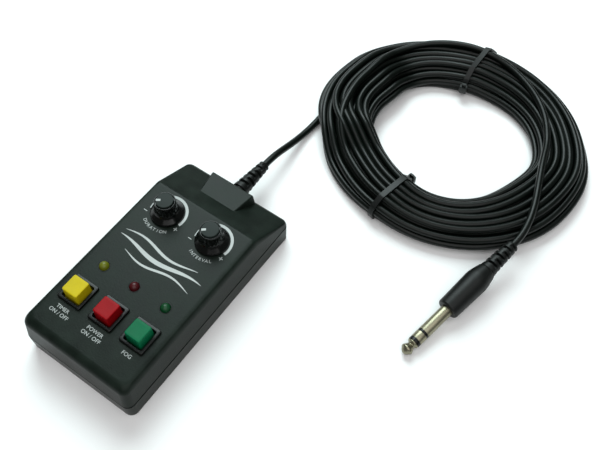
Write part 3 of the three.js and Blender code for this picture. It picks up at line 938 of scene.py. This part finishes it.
def print_labels():
    for name, x in (("timer", -19), ("power", 0.9), ("fog", 20)):
        rows = [name.upper()] + ([] if name == "fog" else ["ON / OFF"])
        pieces = []
        for k, text in enumerate(rows):
            at = (x * MM, (-44.1 - 2.9 * k) * MM)
            pieces.append(lettering(text, 2.7 * MM, at))
        ink(f"{name}_label", pieces)


def print_mist():
    """Three tapered wavy lines, a plain sign for drifting mist."""
    pieces = []
    for k, (y, length, thick) in enumerate(((5.2, 44, 1.3), (0.6, 50, 2.1), (-4.4, 40, 1.1))):
        points, widths = [], []
        for i in range(49):
            t = i / 48
            x = (t - 0.5) * length + (k - 1) * 2.5
            wave = 1.5 * math.sin(2 * math.pi * (1.15 * t + 0.21 * k))
            points.append(Vector((x, y + wave)) * MM)
            widths.append((0.12 + thick * math.sin(math.pi * t) ** 0.8) * MM)
        pieces.append(ribbon(points, widths))
    ink("mist_lines", pieces)


for control in KNOBS:
    print_dial(control)
print_labels()
print_mist()


# ---- strain relief and plug --------------------------------------------------------------------
def segmented(start, end, thick, thin, count, depth, samples=6):
    """Profile stations of a boot with ring grooves, and how deep each station is cut."""
    stations = []
    pitch = (end - start) / count
    for i in range(count):
        for j in range(samples + 1):
            t = j / samples
            z = start + pitch * (i + t)
            r = thick + (thin - thick) * (z - start) / (end - start)
            cut = smooth((t - 0.42) / 0.1) * smooth((0.97 - t) / 0.1)
            stations.append((r, z, i, cut * min(depth, r - 2.25) / r))
    return stations


def boot_wave(stations, first):
    """Radius factor for a segmented boot: each groove is bridged by two webs, turned in turn."""

    def wave(k, angle):
        if not first <= k < first + len(stations):
            return 1
        _, _, row, cut = stations[k - first]
        if not cut:
            return 1
        side = abs(math.cos(angle + (math.pi / 2 if row % 2 else 0) + math.radians(20)))
        return 1 - cut * (1 - smooth((side - 0.88) / 0.08))

    return wave


def make_relief():
    place = Matrix.Translation(ENTRY) @ Matrix.Rotation(-math.pi / 2 - DROOP, 4, "X")
    head = rounded([(2.2, -6), (4.4, -6), (4.4, -3.7), (3.4, -3.7), (3.4, 0.75), (4.45, 0.75)], 0.3)
    head += rounded([(4.45, 0.9), (4.45, 1.7), (4.4, 1.9)], 0.2)
    cuts = segmented(2.0, 21.5, 4.4, 2.95, 6, 1.5, 12)
    tail = rounded([(2.9, 21.6), (2.8, 22.0), (2.2, 22.0), (2.2, -6)], 0.25)
    profile = scaled(head + [(r, z) for r, z, _, _ in cuts] + tail)
    wave = boot_wave(cuts, len(head))
    relief = turned("strain_relief_boot", profile, place, 64, wave, 35)
    return settle(relief, "moulded_rubber", nodes=["strain_relief"])


def plug_place():
    axis = (PLUG_END - PLUG_TIP).normalized()
    return Matrix.Translation(PLUG_TIP) @ axis.to_track_quat("Z", "Y").to_matrix().to_4x4()


def make_plug():
    place = plug_place()
    length = (PLUG_END - PLUG_TIP).length / MM
    r = 3.175
    made = []
    tip = [(0, 0), (0.9, 0.12), (1.9, 0.95), (3.0, 2.2), (r, 2.75), (3.1, 3.2), (2.2, 4.7)]
    tip += [(1.8, 5.3), (1.85, 5.7), (2.7, 6.4), (2.95, 6.7), (2.95, 7.25)]
    tip += [(0.8, 7.25), (0.8, 36), (0, 36)]
    piece = turned("plug_tip_metal", scaled(rounded(tip, 0.5)), place, 64)
    made.append(settle(piece, "nickel_plate", nodes=["plug_tip"]))

    def collar(name, low, high, radius, slot, node, soft):
        ring = [(1.1, low), (radius, low), (radius, high), (1.1, high), (1.1, low)]
        piece = turned(name, scaled(rounded(ring, soft)), place, 64)
        made.append(settle(piece, slot, nodes=[node]))

    collar("plug_insulator_front", 7.3, 9.0, r - 0.03, "bezel_plastic", "plug_insulator_1", 0.08)
    collar("plug_ring_metal", 9.02, 13.2, r, "nickel_plate", "plug_ring", 0.12)
    collar("plug_insulator_rear", 13.22, 14.5, r - 0.03, "bezel_plastic", "plug_insulator_2", 0.08)
    collar("plug_sleeve_metal", 14.52, 38, r, "nickel_plate", "plug_sleeve", 0.12)
    body = [(r + 0.05, 30.8), (5.2, 30.8), (5.75, 31.5), (6.0, 40), (6.35, 51.5), (6.1, 54)]
    body += [(4.75, 59.8), (0, 59.8), (0, 38.3), (r + 0.05, 38.3), (r + 0.05, 30.8)]
    piece = turned("plug_body_moulding", scaled(rounded(body, 0.7, 6)), place, 80)
    made.append(settle(piece, "moulded_rubber", nodes=["plug_body"]))
    cuts = segmented(61.2, length - 1.2, 4.25, 3.35, 6, 1.7, 12)
    head = [(0, 60.0), (4.4, 60.0), (4.4, 61.1)]
    tail = rounded([(3.3, length - 1.1), (3.1, length - 0.3), (0, length - 0.3)], 0.25)
    profile = scaled(head + [(q, z) for q, z, _, _ in cuts] + tail)
    wave = boot_wave(cuts, len(head))
    piece = turned("plug_boot_moulding", profile, place, 72, wave, 35)
    made.append(settle(piece, "moulded_rubber", nodes=["plug_boot"]))
    return made


# ---- cable ties --------------------------------------------------------------------------------
def tie_outline(angle, slant):
    """The strap's inner line: the hull of the strands, in (distance from the middle, height)."""
    discs = []
    middle_r = COIL_R + stray(angle)

    def turned_to(r):
        return angle - slant * (r - middle_r) / (15 * MM)

    for turn in range(len(PLACES) + 1):
        at = angle
        for _ in range(2):
            top = turn == len(PLACES)
            if top and angle > 190:
                break
            wound_at = at if at < 180 else at - 360
            place = last_turn_point(at) if top else coil_point(*PLACES[turn], wound_at, turn)
            r = math.hypot(place.x - COIL.x, place.y - COIL.y)
            at = turned_to(r)
        else:
            for i in range(24):
                b = 2 * math.pi * i / 24
                discs.append((r + CORD_R * math.cos(b), place.z + CORD_R * math.sin(b)))
    hull = convex_hull_2d(discs)
    return [discs[i] for i in hull], turned_to


def make_tie(index, angle, slant):
    inner, turned_to = tie_outline(angle, slant)
    centre = Vector((sum(p[0] for p in inner), sum(p[1] for p in inner))) / len(inner)
    half = 1.5 * MM
    a = math.radians(angle)
    vertices, faces = [], []
    count = len(inner)

    def put(r, z, side):
        b = math.radians(turned_to(r))
        x = COIL.x + r * math.cos(b) - side * math.sin(a)
        y = COIL.y + r * math.sin(b) + side * math.cos(a)
        return (x, y, max(z, 0.02 * MM))

    for p in inner:
        p = Vector(p)
        out = (p - centre).normalized()
        near_side, far = p + out * 0.05 * MM, p + out * (0.05 * MM + 1.05 * MM)
        for r, z, side in ((*near_side, -half), (*far, -half), (*far, half), (*near_side, half)):
            vertices.append(put(r, z, side))
    for i in range(count):
        j = (i + 1) % count
        for k in range(4):
            m = (k + 1) % 4
            faces.append((4 * i + k, 4 * i + m, 4 * j + m, 4 * j + k))
    strap = make_object(f"tie_{index}_strap", vertices, faces, 35)
    inside = min(inner)
    place = Matrix.Translation(put(inside[0], 0, 0)) @ Matrix.Rotation(a, 4, "Z")
    z = inside[1] / MM
    layers = [(2.4, 4.0, 0.5, z - 2.2), (2.8, 4.4, 0.6, z - 1.8)]
    layers += [(2.8, 4.4, 0.6, z + 2.2), (2.4, 4.0, 0.5, z + 2.6)]
    head = stacked("head", [tuple(v * MM for v in layer) for layer in layers], (-1.9 * MM, 0), 35)
    tail = block(Vector((-2.3, -1.2, z + 2.4)) * MM, Vector((-1.2, 1.2, z + 4.4)) * MM)
    for part in (head, tail):
        part.data.transform(place)
    tie = join(f"tie_{index}_band", [strap, head, tail])
    return settle(tidy(tie, 35), "tie_nylon", nodes=[f"cable_tie_{index}"])


# ---- springs under the buttons -----------------------------------------------------------------
SPRING_LOW, SPRING_RISE = 16.6, 4.2  # mm: middle of the wire at the foot, and from foot to head


def make_spring(name):
    """A wound steel spring under a button."""
    turns, steps, sides, wire, radius = 4.5, 126, 8, 0.3 * MM, 3.2 * MM
    x, y = BUTTONS[name]
    vertices, faces = [], []
    for i in range(steps + 1):
        share = i / steps
        a = 2 * math.pi * turns * share
        out = Vector((math.cos(a), math.sin(a), 0))
        z = (SPRING_LOW + SPRING_RISE * (0.35 * smooth(share) + 0.65 * share)) * MM
        for k in range(sides):
            b = 2 * math.pi * k / sides
            ring_point = Vector((x, y, z + wire * math.sin(b)))
            vertices.append(ring_point + out * (radius + wire * math.cos(b)))
    for i in range(steps):
        for k in range(sides):
            m = (k + 1) % sides
            faces.append((sides * i + k, sides * i + m, sides * (i + 1) + m, sides * (i + 1) + k))
    faces += [tuple(range(sides)), tuple(range(sides * steps, sides * (steps + 1)))]
    spring = make_object(f"{name}_coil_spring", vertices, faces, 50)
    settle(spring, "zinc_steel", nodes=[f"{name}_spring"])
    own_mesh(spring)


for function in BUTTONS:
    make_spring(function)
relief = make_relief()
plug_pieces = make_plug()
ties = [make_tie(i + 1, TIE_ANGLES[i], TIE_SLANTS[i]) for i in range(len(TIE_ANGLES))]


# ---- stage -------------------------------------------------------------------------------------
def make_stage():
    mesh = bpy.data.meshes.new("floor")
    size = 3.0
    corners = ((-size, -size, 0), (size, -size, 0), (size, size, 0), (-size, size, 0))
    mesh.from_pydata(corners, [], [(0, 1, 2, 3)])
    floor = bpy.data.objects.new("floor", mesh)
    bpy.context.scene.collection.objects.link(floor)
    floor.location.z = -0.0002
    mesh.materials.append(new_material("floor_paper", (0.93, 0.93, 0.93), 0.9))


def area_light(name, at, towards, size, power, colour=(1, 1, 1)):
    data = bpy.data.lights.new(name, "AREA")
    data.shape = "RECTANGLE"
    data.size, data.size_y = size
    data.energy = power
    data.color = colour
    light = bpy.data.objects.new(name, data)
    bpy.context.scene.collection.objects.link(light)
    aim = (Vector(towards) - Vector(at)).to_track_quat("-Z", "Y")
    light.matrix_world = Matrix.Translation(at) @ aim.to_matrix().to_4x4()


def make_lights():
    world = bpy.data.worlds.new("studio")
    world.use_nodes = True
    background = world.node_tree.nodes["Background"]
    background.inputs["Color"].default_value = (1, 1, 1, 1)
    background.inputs["Strength"].default_value = 0.12
    bpy.context.scene.world = world
    middle_of_all = (0.05, 0.07, 0)
    area_light("back_softbox", (-0.475, 0.61, 0.92), middle_of_all, (0.75, 0.75), 15, (0.86, 1, 1))
    area_light("front_fill", (0.5, -0.45, 1.3), middle_of_all, (1.8, 1.8), 17)


make_stage()
make_lights()
bpy.context.scene.view_settings.view_transform = "Standard"
